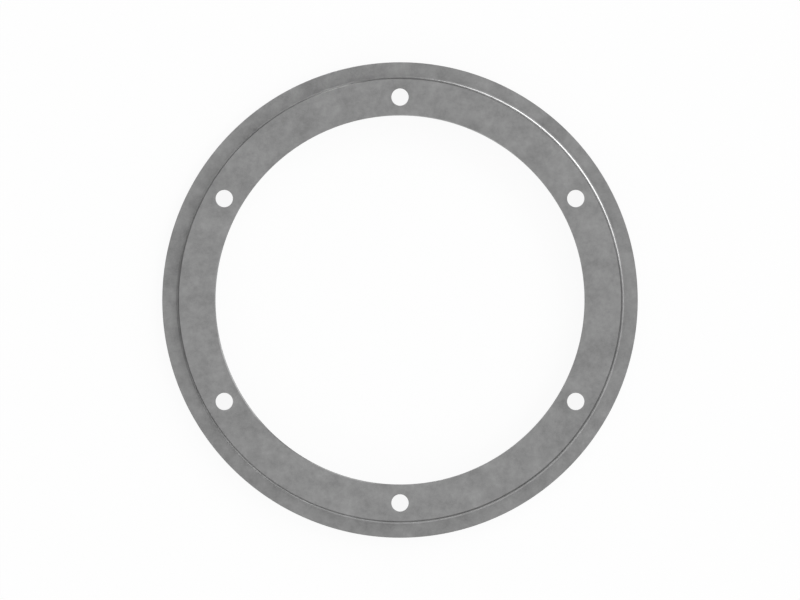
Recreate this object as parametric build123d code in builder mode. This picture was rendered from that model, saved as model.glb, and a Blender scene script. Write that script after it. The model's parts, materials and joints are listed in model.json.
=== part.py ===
from build123d import *
import os

os.makedirs("parts", exist_ok=True)

# Driving dimensions, in millimetres
bore_diameter = 180.0
seat_width = 18.0
rim_width = 8.0
rim_thickness = 6.0
step_height = 8.0
root_radius = 1.5
hole_diameter = 8.4
hole_count = 6
first_hole_angle = 30.0
bore_edge_break = 0.3
seat_edge_break = 0.2
rim_edge_break = 0.2
back_edge_break = 0.3

# Radii and heights that follow from them
bore_radius = bore_diameter / 2
seat_radius = bore_radius + seat_width
rim_radius = seat_radius + rim_width
hole_circle_radius = bore_radius + seat_width / 2
total_thickness = rim_thickness + step_height

# Thrust washer, one turned ring. It lies on its flat back, which is z = 0, and its
# axis is Z. The inner part is the raised seat. The rim round it stands step_height
# lower, and a root fillet joins the seat's wall to the rim.
with BuildPart() as thrust_washer:
    # Half section, from the bore to the rim
    with BuildSketch(Plane.XZ) as section:
        with BuildLine() as outline:
            Polyline(
                (bore_radius, 0),
                (rim_radius, 0),
                (rim_radius, rim_thickness),
                (seat_radius, rim_thickness),
                (seat_radius, total_thickness),
                (bore_radius, total_thickness),
                close=True,
            )
        make_face()
        corners = section.vertices().group_by(Axis.Y)
        back_corners = corners[0]
        root_corner, rim_corner = corners[1].sort_by(Axis.X)
        bore_corner, seat_corner = corners[2].sort_by(Axis.X)
        chamfer(back_corners, back_edge_break)
        chamfer(bore_corner, bore_edge_break)
        chamfer(seat_corner, seat_edge_break)
        chamfer(rim_corner, rim_edge_break)
        fillet(root_corner, root_radius)
    revolve(axis=Axis.Z)

    # Bolt holes, plain drilled, midway across the seat
    with Locations(Plane.XY.offset(total_thickness)):
        with PolarLocations(hole_circle_radius, hole_count, first_hole_angle):
            Hole(hole_diameter / 2)

thrust_washer.part.label = "thrust_washer"
export_step(thrust_washer.part, "parts/thrust_washer.step")
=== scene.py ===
import json
import math
import bmesh
import bpy
import numpy as np
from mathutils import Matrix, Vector


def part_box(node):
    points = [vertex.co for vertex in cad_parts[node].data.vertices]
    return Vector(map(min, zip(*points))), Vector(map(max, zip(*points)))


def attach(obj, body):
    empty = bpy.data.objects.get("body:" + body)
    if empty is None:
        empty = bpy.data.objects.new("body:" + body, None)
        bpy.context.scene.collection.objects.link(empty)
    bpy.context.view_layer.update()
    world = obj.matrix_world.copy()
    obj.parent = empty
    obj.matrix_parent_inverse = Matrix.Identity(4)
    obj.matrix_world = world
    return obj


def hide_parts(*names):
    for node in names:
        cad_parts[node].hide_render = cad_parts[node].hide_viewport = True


# Thrust washer: one turned steel ring with a raised seat, six bolt holes and a lower rim.
# It lies on its flat back. Lengths are in metres. Angles in the tables are in degrees, counted
# from +X towards +Y, the photograph's right and up.
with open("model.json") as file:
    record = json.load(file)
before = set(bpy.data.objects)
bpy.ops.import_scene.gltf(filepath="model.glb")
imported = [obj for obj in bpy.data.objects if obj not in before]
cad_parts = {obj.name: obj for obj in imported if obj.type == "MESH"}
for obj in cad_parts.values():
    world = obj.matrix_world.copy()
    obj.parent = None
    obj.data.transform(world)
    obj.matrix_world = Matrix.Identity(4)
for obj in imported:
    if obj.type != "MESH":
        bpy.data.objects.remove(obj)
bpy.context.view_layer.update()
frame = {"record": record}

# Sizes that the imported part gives
MM = 0.001
mounts = {mount["name"]: mount["dims"] for mount in frame["record"]["mounts"]}
bore_radius = mounts["bore"]["r_mm"] * MM
seat_radius = mounts["seat_spigot"]["r_mm"] * MM
hole_radius = mounts["bolts"]["hole_r_mm"] * MM
hole_circle_radius = mounts["bolts"]["pcd_mm"] * MM / 2
hole_count = mounts["bolts"]["count"]
total_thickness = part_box("thrust_washer")[1].z

# Sizes that only the part's source names
rim_radius = 116 * MM
rim_thickness = 6 * MM
root_radius = 1.5 * MM
bore_edge_break = 0.3 * MM
seat_edge_break = 0.2 * MM
rim_edge_break = 0.2 * MM
back_edge_break = 0.3 * MM

# Fineness of the ring's surfaces
steps_round = 600
steps_across = 16
steps_to_hole = 10
steps_in_root = 16
steps_in_hole = 4
rows_on_bore = 7
rows_on_rim_wall = 4
rows_on_rim = 6
rows_on_seat_wall = 5
row_beside_root = 0.05 * MM
DOUBLES_WITHIN = 0.002 * MM
SHARP_FROM_ANGLE = 20

# The photograph's view: straight down the axis, without perspective
PHOTO_WIDTH = 800
PIXELS_PER_METRE = 2049.63
CAMERA_HEIGHT = 1

# Steel: its plain grey and gloss, its clouds and grain, and the turning lines on its walls
STEEL_GREY = 0.32
STEEL_ROUGHNESS = 0.34
STEEL_METALLIC = 0.9
BRIGHT_SMOOTHS = 0.1
CLOUDS_PER_METRE = 103
CLOUD_DETAIL = 5
CLOUD_ROUGHNESS = 0.8
CLOUD_SHADE = 0.20
GRAINS_PER_METRE = 3000
GRAIN_SHADE = 0.05
GRAIN_DEPTH = 0.006 * MM
LINE_STRETCH = 15
LINES_PER_METRE = 2500
LINE_SHADE = 0.04
LINE_DEPTH = 0.015 * MM
FINE_DETAIL = 3
FINE_ROUGHNESS = 0.6
PATTERN_LOW = 0.3
PATTERN_HIGH = 0.7

# Middles of the broken edges: radius and height
BORE_EDGE = (bore_radius + bore_edge_break / 2, total_thickness - bore_edge_break / 2)
SEAT_EDGE = (seat_radius - seat_edge_break / 2, total_thickness - seat_edge_break / 2)
RIM_EDGE = (rim_radius - rim_edge_break / 2, rim_thickness - rim_edge_break / 2)
BACK_RIM_EDGE = (rim_radius - back_edge_break / 2, back_edge_break / 2)
BACK_BORE_EDGE = (bore_radius + back_edge_break / 2, back_edge_break / 2)

# The circle of the root fillet's painted highlight, this far up its quarter circle from the foot
ROOT_TURN = math.radians(35)
PAINTED_ROOT_HIGHLIGHT = (
    seat_radius + root_radius * (1 - math.sin(ROOT_TURN)),
    rim_thickness + root_radius * (1 - math.cos(ROOT_TURN)),
)

# Worn and painted edges: its circle, its reach, the middle, half length and fade of its arc, and how
# much brighter than the skin it is, or below 0, how much duller. Some rows are worn metal, the others
# painted glints, a painted highlight and painted shade
ALL_ROUND = 200
SHORT_FADE = 3
LONG_FADE = 22
WORN_AND_PAINTED_EDGES = (
    (BORE_EDGE, 0.4 * MM, 0, ALL_ROUND, SHORT_FADE, 0.2),
    # Arcs of the bore's edge: painted glints, colour made brighter where light glints; the arcs at 233
    # and 289 degrees are painted shade that dims glints of the lamps
    (BORE_EDGE, 0.5 * MM, 72, 22, SHORT_FADE, 0.4),
    (BORE_EDGE, 0.5 * MM, 178, 14, SHORT_FADE, 0.65),
    (BORE_EDGE, 0.7 * MM, 206, 14, SHORT_FADE, 1.6),
    (BORE_EDGE, 0.5 * MM, 233, 6, SHORT_FADE, -0.4),
    (BORE_EDGE, 0.5 * MM, 252, 10, SHORT_FADE, 1.1),
    (BORE_EDGE, 0.4 * MM, 289, 13, SHORT_FADE, -0.45),
    # The seat's edge: painted shade all round, a dark line along the step, and a painted glint at 107
    # degrees
    (SEAT_EDGE, 0.3 * MM, 0, ALL_ROUND, SHORT_FADE, -0.35),
    (SEAT_EDGE, 0.3 * MM, 107, 4, SHORT_FADE, 0.5),
    # The rim's edge: painted shade all round
    (RIM_EDGE, 0.3 * MM, 0, ALL_ROUND, SHORT_FADE, -0.1),
    # The root fillet's arc: a painted highlight, colour made brighter where the key lamp's highlight
    # falls, which the lamp also lights
    (PAINTED_ROOT_HIGHLIGHT, 1.3 * MM, 44, 22, LONG_FADE, 1.35),
    (BACK_RIM_EDGE, 0.4 * MM, 0, ALL_ROUND, SHORT_FADE, 0.15),
    (BACK_BORE_EDGE, 0.4 * MM, 0, ALL_ROUND, SHORT_FADE, 0.15),
)

# Floor
FLOOR_PLAIN_SHARE = 0.92
FLOOR_GREY = 0.98
FLOOR_RADIUS = 3
FLOOR_STEPS_ROUND = 96
FLOOR_RINGS = 13
FLOOR_GAP = 0.05 * MM

# Softboxes: shape, azimuth, elevation, width and height as seen from the ring, and strength
SOFTBOXES = {
    "key": ("RECTANGLE", 44, 36, 60, 22, 1.05),
    "overhead": ("ELLIPSE", 335, 80, 70, 70, 0.545),
    "near_right": ("RECTANGLE", 320, 31, 60, 16, 0.257),
    "near_left": ("RECTANGLE", 250, 31, 60, 16, 0.419),
    "far_left_low": ("RECTANGLE", 132, 15, 60, 10, 0.194),
    "far_left_high": ("RECTANGLE", 130, 45, 60, 16, 0.147),
    "left_low": ("RECTANGLE", 225, 8, 100, 10, 0.226),
    "far_low": ("RECTANGLE", 107, 4, 10, 8, 0.094),
    "right_high": ("RECTANGLE", 325, 60, 80, 18, 0.312),
}
LAMP_DISTANCE = 8
SKY_GREY = 0.315
HORIZON = 0.01

# Width of one node, for laying rows of them out in the editor
NODE_WIDTH = 180


def make_camera():
    """The camera above the ring, with the ring as large in its picture as in the photograph."""
    data = bpy.data.cameras.new("camera")
    data.type = "ORTHO"
    data.ortho_scale = PHOTO_WIDTH / PIXELS_PER_METRE
    camera = bpy.data.objects.new("camera", data)
    camera.location = (0, 0, CAMERA_HEIGHT)
    bpy.context.scene.collection.objects.link(camera)
    bpy.context.scene.camera = camera


def grid_faces(rows, columns, closed):
    """Quads of a grid of points, row after row. A closed grid's last column joins its first."""
    row = np.arange(rows - 1)[:, None]
    column = np.arange(columns if closed else columns - 1)[None, :]
    after = (column + 1) % columns
    corners = (
        row * columns + column,
        row * columns + after,
        (row + 1) * columns + after,
        (row + 1) * columns + column,
    )
    return np.stack(corners, axis=-1).reshape(-1, 4)


def joined(parts):
    """Several surfaces as one array of points and one of faces."""
    points = [part_points for part_points, part_faces in parts]
    faces = [part_faces for part_points, part_faces in parts]
    starts = np.cumsum([0] + [len(part_points) for part_points in points[:-1]])
    moved = [part_faces + start for part_faces, start in zip(faces, starts)]
    return np.concatenate(points), np.concatenate(moved)


def turned(section):
    """A section turned once round the axis: (r cos a, r sin a, z) for each (r, z) and angle a."""
    radius, height = np.array(section).T[:, :, None]
    angle = np.linspace(0, 2 * np.pi, steps_round, endpoint=False)[None, :]
    z = np.broadcast_to(height, (len(section), steps_round))
    points = np.stack([radius * np.cos(angle), radius * np.sin(angle), z], axis=-1)
    return points.reshape(-1, 3), grid_faces(len(section), steps_round, closed=True)


def hole_angles():
    """Even angles round a hole, one for each point of the outline of its sector."""
    count = 2 * (steps_round // hole_count + steps_across)
    return np.arange(count) * 2 * np.pi / count


def drilled_face(inner, outer, z):
    """A flat face of the ring, in equal sectors with one hole in the middle of each.

    In radius and angle a sector is a rectangle. Its outline starts beyond the hole, in the
    middle of the outer arc, and goes once round. Each point of the outline is joined to the
    point of the hole's circle with the same share of the turn, and the surface is
    outline + s (circle - outline) in radius and angle, with s from 0 to 1.
    """
    arc = steps_round // hole_count
    half = np.pi / hole_count
    along = np.linspace(-half, half, arc, endpoint=False)
    across = np.linspace(0, 1, steps_across, endpoint=False)
    outline_angle = np.concatenate([
        along,
        np.full(steps_across, half),
        -along,
        np.full(steps_across, -half),
    ])
    outline_radius = np.concatenate([
        np.full(arc, outer),
        outer + (inner - outer) * across,
        np.full(arc, inner),
        inner + (outer - inner) * across,
    ])
    outline_angle = np.roll(outline_angle, -(arc // 2))
    outline_radius = np.roll(outline_radius, -(arc // 2))

    turn = hole_angles()
    x = hole_circle_radius + hole_radius * np.cos(turn)
    y = hole_radius * np.sin(turn)
    share = np.linspace(0, 1, steps_to_hole + 1)[:, None]
    radius = outline_radius + share * (np.hypot(x, y) - outline_radius)
    angle = outline_angle + share * (np.arctan2(y, x) - outline_angle)

    centres = (2 * np.arange(hole_count) + 1) * half
    angle = angle + centres[:, None, None]
    height = np.full(angle.shape, z)
    points = np.stack([radius * np.cos(angle), radius * np.sin(angle), height], axis=-1)
    return joined([
        (sector.reshape(-1, 3), grid_faces(steps_to_hole + 1, len(turn), closed=True))
        for sector in points
    ])


def hole_walls():
    """Upright walls of the holes: each circle of hole_angles() carried straight from back to seat."""
    turn = hole_angles()
    height = np.linspace(0, total_thickness, steps_in_hole + 1)[:, None]
    x = np.broadcast_to(hole_circle_radius + hole_radius * np.cos(turn), (len(height), len(turn)))
    y = np.broadcast_to(hole_radius * np.sin(turn), x.shape)
    z = np.broadcast_to(height, x.shape)
    parts = []
    for centre in (2 * np.arange(hole_count) + 1) * np.pi / hole_count:
        turned_x = x * np.cos(centre) - y * np.sin(centre)
        turned_y = x * np.sin(centre) + y * np.cos(centre)
        points = np.stack([turned_x, turned_y, z], axis=-1)
        parts.append((points.reshape(-1, 3), grid_faces(*x.shape, closed=True)))
    return joined(parts)


def mesh_object(name, points, faces):
    """A mesh object with its doubles merged and its faces turned outwards."""
    mesh = bpy.data.meshes.new(name)
    mesh.from_pydata(points.tolist(), [], faces.tolist())
    work = bmesh.new()
    work.from_mesh(mesh)
    bmesh.ops.remove_doubles(work, verts=work.verts, dist=DOUBLES_WITHIN)
    bmesh.ops.recalc_face_normals(work, faces=work.faces)
    work.to_mesh(mesh)
    work.free()
    piece = bpy.data.objects.new(name, mesh)
    bpy.context.scene.collection.objects.link(piece)
    return piece


def make_washer():
    """The ring's closed surface: both sides of its section turned, two drilled faces, hole walls.

    The root fillet is a quarter circle of section: (seat + R - R cos t, rim + R - R sin t).
    Rows close to its ends keep the shading of the rim and the wall flat right up to it.
    """
    back_inner = bore_radius + back_edge_break
    back_outer = rim_radius - back_edge_break
    seat_inner = bore_radius + bore_edge_break
    seat_outer = seat_radius - seat_edge_break

    bore_top = total_thickness - bore_edge_break
    bore_side = [(back_inner, 0)]
    bore_side += [(bore_radius, z) for z in np.linspace(back_edge_break, bore_top, rows_on_bore)]
    bore_side += [(seat_inner, total_thickness)]

    root = np.linspace(0, np.pi / 2, steps_in_root + 1)
    root_foot = seat_radius + root_radius
    rim_inner = root_foot + row_beside_root
    rim_outer = rim_radius - rim_edge_break
    rim_top = rim_thickness - rim_edge_break
    wall_foot = rim_thickness + root_radius + row_beside_root
    wall_top = total_thickness - seat_edge_break
    rim_side = [(back_outer, 0)]
    rim_side += [(rim_radius, z) for z in np.linspace(back_edge_break, rim_top, rows_on_rim_wall)]
    rim_side += [(r, rim_thickness) for r in np.linspace(rim_outer, rim_inner, rows_on_rim)]
    rim_side += [
        (root_foot - root_radius * np.cos(t), rim_thickness + root_radius * (1 - np.sin(t)))
        for t in root[::-1]
    ]
    rim_side += [(seat_radius, z) for z in np.linspace(wall_foot, wall_top, rows_on_seat_wall)]
    rim_side += [(seat_outer, total_thickness)]

    washer = mesh_object("washer", *joined([
        turned(bore_side),
        turned(rim_side),
        drilled_face(seat_inner, seat_outer, total_thickness),
        drilled_face(back_inner, back_outer, 0),
        hole_walls(),
    ]))
    washer.data.shade_smooth()
    washer.data.set_sharp_from_angle(angle=math.radians(SHARP_FROM_ANGLE))
    return washer


def add(tree, kind, x, y, **values):
    """A node at (x, y), with its settings and socket values given by name."""
    node = tree.nodes.new(kind)
    node.location = (x, y)
    for name, value in values.items():
        socket = name.replace("_", " ").title()
        if socket in node.inputs:
            node.inputs[socket].default_value = value
        else:
            setattr(node, name, value)
    return node


def edge_wear_and_painted_light_group():
    """Node group: a change of brightness along one circle of the ring, all round or along one arc.
    Where it is used, it makes worn edges, painted glints, a painted highlight and painted shade.

    Place is (radius, 0, height) of the shaded point, so its distance from
    (Radius, 0, Height) is its distance from the circle, and the change fades out within Width.
    Direction and Toward are unit vectors square to the axis. The angle between them is the
    arc cosine of their dot product. The change fades out where it passes Half Arc degrees, from
    Fade degrees before to Fade degrees after.
    """
    group = bpy.data.node_groups.new("edge_wear_and_painted_light", "ShaderNodeTree")
    for name, kind in (
        ("Place", "NodeSocketVector"),
        ("Direction", "NodeSocketVector"),
        ("Radius", "NodeSocketFloat"),
        ("Height", "NodeSocketFloat"),
        ("Width", "NodeSocketFloat"),
        ("Toward", "NodeSocketVector"),
        ("Half Arc", "NodeSocketFloat"),
        ("Fade", "NodeSocketFloat"),
        ("Amount", "NodeSocketFloat"),
    ):
        group.interface.new_socket(name, in_out="INPUT", socket_type=kind)
    group.interface.new_socket("Wear And Painted Light", in_out="OUTPUT", socket_type="NodeSocketFloat")
    link = group.links.new
    given = add(group, "NodeGroupInput", -800, 0)

    # Near the circle
    circle = add(group, "ShaderNodeCombineXYZ", -600, 200)
    away = add(group, "ShaderNodeVectorMath", -400, 200, operation="DISTANCE")
    near = add(group, "ShaderNodeMapRange", -200, 200, interpolation_type="SMOOTHSTEP", to_max=0)
    link(given.outputs["Radius"], circle.inputs["X"])
    link(given.outputs["Height"], circle.inputs["Z"])
    link(given.outputs["Place"], away.inputs[0])
    link(circle.outputs["Vector"], away.inputs[1])
    link(away.outputs["Value"], near.inputs["Value"])
    link(given.outputs["Width"], near.inputs["From Max"])
    link(given.outputs["Amount"], near.inputs["To Min"])

    # Along the arc
    cosine = add(group, "ShaderNodeVectorMath", -600, -200, operation="DOT_PRODUCT")
    turn = add(group, "ShaderNodeMath", -450, -200, operation="ARCCOSINE")
    degrees = add(group, "ShaderNodeMath", -300, -200, operation="DEGREES")
    beyond = add(group, "ShaderNodeMath", -150, -200, operation="SUBTRACT")
    share = add(group, "ShaderNodeMath", 0, -200, operation="DIVIDE")
    along = add(group, "ShaderNodeMapRange", 150, -200, interpolation_type="SMOOTHSTEP",
                from_min=-1, from_max=1, to_min=1, to_max=0)
    link(given.outputs["Direction"], cosine.inputs[0])
    link(given.outputs["Toward"], cosine.inputs[1])
    link(cosine.outputs["Value"], turn.inputs[0])
    link(turn.outputs["Value"], degrees.inputs[0])
    link(degrees.outputs["Value"], beyond.inputs[0])
    link(given.outputs["Half Arc"], beyond.inputs[1])
    link(beyond.outputs["Value"], share.inputs[0])
    link(given.outputs["Fade"], share.inputs[1])
    link(share.outputs["Value"], along.inputs["Value"])

    both = add(group, "ShaderNodeMath", 350, 0, operation="MULTIPLY")
    result = add(group, "NodeGroupOutput", 500, 0)
    link(near.outputs["Result"], both.inputs[0])
    link(along.outputs["Result"], both.inputs[1])
    link(both.outputs["Value"], result.inputs["Wear And Painted Light"])
    return group


def swing(tree, x, y, pattern, amount):
    """A noise pattern, which keeps mostly between PATTERN_LOW and PATTERN_HIGH, made a value
    between -amount and amount."""
    scaled = add(tree, "ShaderNodeMapRange", x, y, clamp=False, from_min=PATTERN_LOW,
                 from_max=PATTERN_HIGH, to_min=-amount, to_max=amount)
    tree.links.new(pattern.outputs["Fac"], scaled.inputs["Value"])
    return scaled.outputs["Result"]


def total(tree, x, y, values):
    """The sum of values, node after node to the right of (x, y)."""
    result = values[0]
    for number, value in enumerate(values[1:]):
        both = add(tree, "ShaderNodeMath", x + NODE_WIDTH * number, y, operation="ADD")
        tree.links.new(result, both.inputs[0])
        tree.links.new(value, both.inputs[1])
        result = both.outputs["Value"]
    return result


def steel():
    """Grey steel: a dull, faintly clouded skin with a fine grain, turning lines on the upright
    walls, and edges worn bright all round. Painted glints brighten arcs of the bore's and seat's edges,
    a painted highlight brightens an arc of the root fillet, and painted shade darkens the seat's and
    rim's edges and two arcs of the bore's edge. Where it is brighter, it is smoother."""
    material = bpy.data.materials.new("steel")
    material.use_nodes = True
    tree = material.node_tree
    tree.nodes.clear()
    link = tree.links.new
    place = add(tree, "ShaderNodeTexCoord", -2000, 0)

    # Clouds, from ten millimetres across down to half a millimetre
    clouds = add(tree, "ShaderNodeTexNoise", -1400, 900, scale=CLOUDS_PER_METRE, detail=CLOUD_DETAIL,
                 roughness=CLOUD_ROUGHNESS)
    link(place.outputs["Object"], clouds.inputs["Vector"])

    # Fine grain all over
    grain = add(tree, "ShaderNodeTexNoise", -1400, 600, scale=GRAINS_PER_METRE, detail=FINE_DETAIL,
                roughness=FINE_ROUGHNESS)
    link(place.outputs["Object"], grain.inputs["Vector"])

    # Lines that run round the walls, because the pattern is long in X and Y and short in Z
    stretch = add(tree, "ShaderNodeMapping", -1600, 300)
    stretch.inputs["Scale"].default_value = (LINE_STRETCH, LINE_STRETCH, LINES_PER_METRE)
    lines = add(tree, "ShaderNodeTexNoise", -1400, 300, scale=1, detail=FINE_DETAIL,
                roughness=FINE_ROUGHNESS)
    link(place.outputs["Object"], stretch.inputs["Vector"])
    link(stretch.outputs["Vector"], lines.inputs["Vector"])

    # Direction from the axis, and place in the section, for the worn and painted edges
    flat = add(tree, "ShaderNodeVectorMath", -1800, -100, operation="MULTIPLY")
    flat.inputs[1].default_value = (1, 1, 0)
    direction = add(tree, "ShaderNodeVectorMath", -1600, 0, operation="NORMALIZE")
    from_axis = add(tree, "ShaderNodeVectorMath", -1600, -150, operation="LENGTH")
    upwards = add(tree, "ShaderNodeSeparateXYZ", -1600, -300)
    section = add(tree, "ShaderNodeCombineXYZ", -1400, -200)
    link(place.outputs["Object"], flat.inputs[0])
    link(flat.outputs["Vector"], direction.inputs[0])
    link(flat.outputs["Vector"], from_axis.inputs[0])
    link(place.outputs["Object"], upwards.inputs["Vector"])
    link(from_axis.outputs["Value"], section.inputs["X"])
    link(upwards.outputs["Z"], section.inputs["Z"])

    # Worn edges, painted glints, the root fillet's painted highlight and painted shade on the edges
    group = edge_wear_and_painted_light_group()
    wear_and_painted_light = []
    for number, ((radius, height), reach, middle, half_arc, fade, amount) in enumerate(WORN_AND_PAINTED_EDGES):
        toward = (math.cos(math.radians(middle)), math.sin(math.radians(middle)), 0)
        edge = add(tree, "ShaderNodeGroup", -1200, -250 * number, node_tree=group, radius=radius,
                   height=height, width=reach, toward=toward, half_arc=half_arc, fade=fade,
                   amount=amount)
        link(section.outputs["Vector"], edge.inputs["Place"])
        link(direction.outputs["Vector"], edge.inputs["Direction"])
        wear_and_painted_light.append(edge.outputs["Wear And Painted Light"])

    # How much brighter or duller than the plain grey each point is
    brighter = total(tree, -900, 0, [
        swing(tree, -1200, 900, clouds, CLOUD_SHADE),
        swing(tree, -1200, 600, grain, GRAIN_SHADE),
        swing(tree, -1200, 300, lines, LINE_SHADE),
        *wear_and_painted_light,
    ])
    x = -700 + NODE_WIDTH * len(WORN_AND_PAINTED_EDGES)
    grey = add(tree, "ShaderNodeMath", x, 300, operation="MULTIPLY_ADD")
    grey.inputs[1].default_value = STEEL_GREY
    grey.inputs[2].default_value = STEEL_GREY
    dull = add(tree, "ShaderNodeMath", x, 100, operation="MULTIPLY_ADD")
    dull.inputs[1].default_value = -BRIGHT_SMOOTHS
    dull.inputs[2].default_value = STEEL_ROUGHNESS
    link(brighter, grey.inputs[0])
    link(brighter, dull.inputs[0])

    line_bump = add(tree, "ShaderNodeBump", x, -100, distance=LINE_DEPTH)
    grain_bump = add(tree, "ShaderNodeBump", x + 200, -100, distance=GRAIN_DEPTH)
    link(lines.outputs["Fac"], line_bump.inputs["Height"])
    link(grain.outputs["Fac"], grain_bump.inputs["Height"])
    link(line_bump.outputs["Normal"], grain_bump.inputs["Normal"])

    shader = add(tree, "ShaderNodeBsdfPrincipled", x + 400, 200, metallic=STEEL_METALLIC)
    output = add(tree, "ShaderNodeOutputMaterial", x + 700, 200)
    link(grey.outputs["Value"], shader.inputs["Base Color"])
    link(dull.outputs["Value"], shader.inputs["Roughness"])
    link(grain_bump.outputs["Normal"], shader.inputs["Normal"])
    link(shader.outputs["BSDF"], output.inputs["Surface"])
    return material


def seen(tree, x, y):
    """1 for camera, glossy and see-through rays, which show their background, and otherwise 0."""
    rays = add(tree, "ShaderNodeLightPath", x, y)
    first = add(tree, "ShaderNodeMath", x + 200, y, operation="MAXIMUM")
    either = add(tree, "ShaderNodeMath", x + 400, y, operation="MAXIMUM")
    tree.links.new(rays.outputs["Is Camera Ray"], first.inputs[0])
    tree.links.new(rays.outputs["Is Glossy Ray"], first.inputs[1])
    tree.links.new(first.outputs["Value"], either.inputs[0])
    tree.links.new(rays.outputs["Is Transmission Ray"], either.inputs[1])
    return either.outputs["Value"]


def floor_white():
    """Pale floor. What is seen of it is nearly all plain white, and the rest is a matt white
    that takes the ring's shadow."""
    material = bpy.data.materials.new("floor_white")
    material.use_nodes = True
    tree = material.node_tree
    tree.nodes.clear()
    link = tree.links.new
    share = add(tree, "ShaderNodeMath", -300, 100, operation="MULTIPLY")
    share.inputs[1].default_value = FLOOR_PLAIN_SHARE
    matt = add(tree, "ShaderNodeBsdfDiffuse", -300, -100, color=(FLOOR_GREY, FLOOR_GREY, FLOOR_GREY, 1))
    plain = add(tree, "ShaderNodeEmission", -300, -250, color=(1, 1, 1, 1), strength=1)
    mix = add(tree, "ShaderNodeMixShader", 0, 0)
    output = add(tree, "ShaderNodeOutputMaterial", 200, 0)
    link(seen(tree, -900, 100), share.inputs[0])
    link(share.outputs["Value"], mix.inputs["Fac"])
    link(matt.outputs["BSDF"], mix.inputs[1])
    link(plain.outputs["Emission"], mix.inputs[2])
    link(mix.outputs["Shader"], output.inputs["Surface"])
    return material


def make_floor():
    """A flat disc under the ring: rings of points, (r cos a, r sin a) at one height."""
    angle = np.linspace(0, 2 * np.pi, FLOOR_STEPS_ROUND, endpoint=False)[None, :]
    radius = np.linspace(0, FLOOR_RADIUS, FLOOR_RINGS)[:, None]
    z = np.full((FLOOR_RINGS, FLOOR_STEPS_ROUND), -FLOOR_GAP)
    points = np.stack([radius * np.cos(angle), radius * np.sin(angle), z], axis=-1)
    faces = grid_faces(FLOOR_RINGS, FLOOR_STEPS_ROUND, closed=True)
    floor = mesh_object("floor", points.reshape(-1, 3), faces)
    floor.data.materials.append(floor_white())


def sky():
    """A plain dim sky. Below the horizon, where the floor hides it from the ring, it is seen
    plain white like the floor, so that no view from low down ends in grey."""
    world = bpy.data.worlds.new("sky")
    world.use_nodes = True
    tree = world.node_tree
    tree.nodes.clear()
    link = tree.links.new
    way = add(tree, "ShaderNodeTexCoord", -900, 200)
    upwards = add(tree, "ShaderNodeSeparateXYZ", -700, 200)
    below = add(tree, "ShaderNodeMath", -500, 200, operation="LESS_THAN")
    below.inputs[1].default_value = HORIZON
    share = add(tree, "ShaderNodeMath", -300, 100, operation="MULTIPLY")
    grey = add(tree, "ShaderNodeMath", -100, 0, operation="MULTIPLY_ADD")
    grey.inputs[1].default_value = 1 - SKY_GREY
    grey.inputs[2].default_value = SKY_GREY
    background = add(tree, "ShaderNodeBackground", 100, 0, strength=1)
    output = add(tree, "ShaderNodeOutputWorld", 300, 0)
    link(way.outputs["Generated"], upwards.inputs["Vector"])
    link(upwards.outputs["Z"], below.inputs[0])
    link(below.outputs["Value"], share.inputs[0])
    link(seen(tree, -900, -100), share.inputs[1])
    link(share.outputs["Value"], grey.inputs[0])
    link(grey.outputs["Value"], background.inputs["Color"])
    link(background.outputs["Background"], output.inputs["Surface"])
    return world


def make_lights():
    """Large softboxes far away round the ring, and the sky.

    A softbox's power is 4 distance^2 strength, so that strength is how brightly it lights a
    surface that faces it, whatever its size.
    """
    for name, (shape, azimuth, elevation, width, height, strength) in SOFTBOXES.items():
        a = math.radians(azimuth)
        e = math.radians(elevation)
        place = Vector((math.cos(e) * math.cos(a), math.cos(e) * math.sin(a), math.sin(e)))
        data = bpy.data.lights.new(name, "AREA")
        data.shape = shape
        data.size = 2 * LAMP_DISTANCE * math.tan(math.radians(width / 2))
        data.size_y = 2 * LAMP_DISTANCE * math.tan(math.radians(height / 2))
        data.energy = 4 * LAMP_DISTANCE ** 2 * strength
        lamp = bpy.data.objects.new(name, data)
        lamp.location = place * LAMP_DISTANCE
        lamp.rotation_mode = "QUATERNION"
        lamp.rotation_quaternion = (-place).to_track_quat("-Z", "Y")
        lamp.visible_camera = False
        bpy.context.scene.collection.objects.link(lamp)
    bpy.context.scene.world = sky()


make_camera()
washer = make_washer()
washer.data.materials.append(steel())
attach(washer, "root")
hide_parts("thrust_washer")
make_floor()
make_lights()
bpy.context.scene.view_settings.view_transform = "Standard"
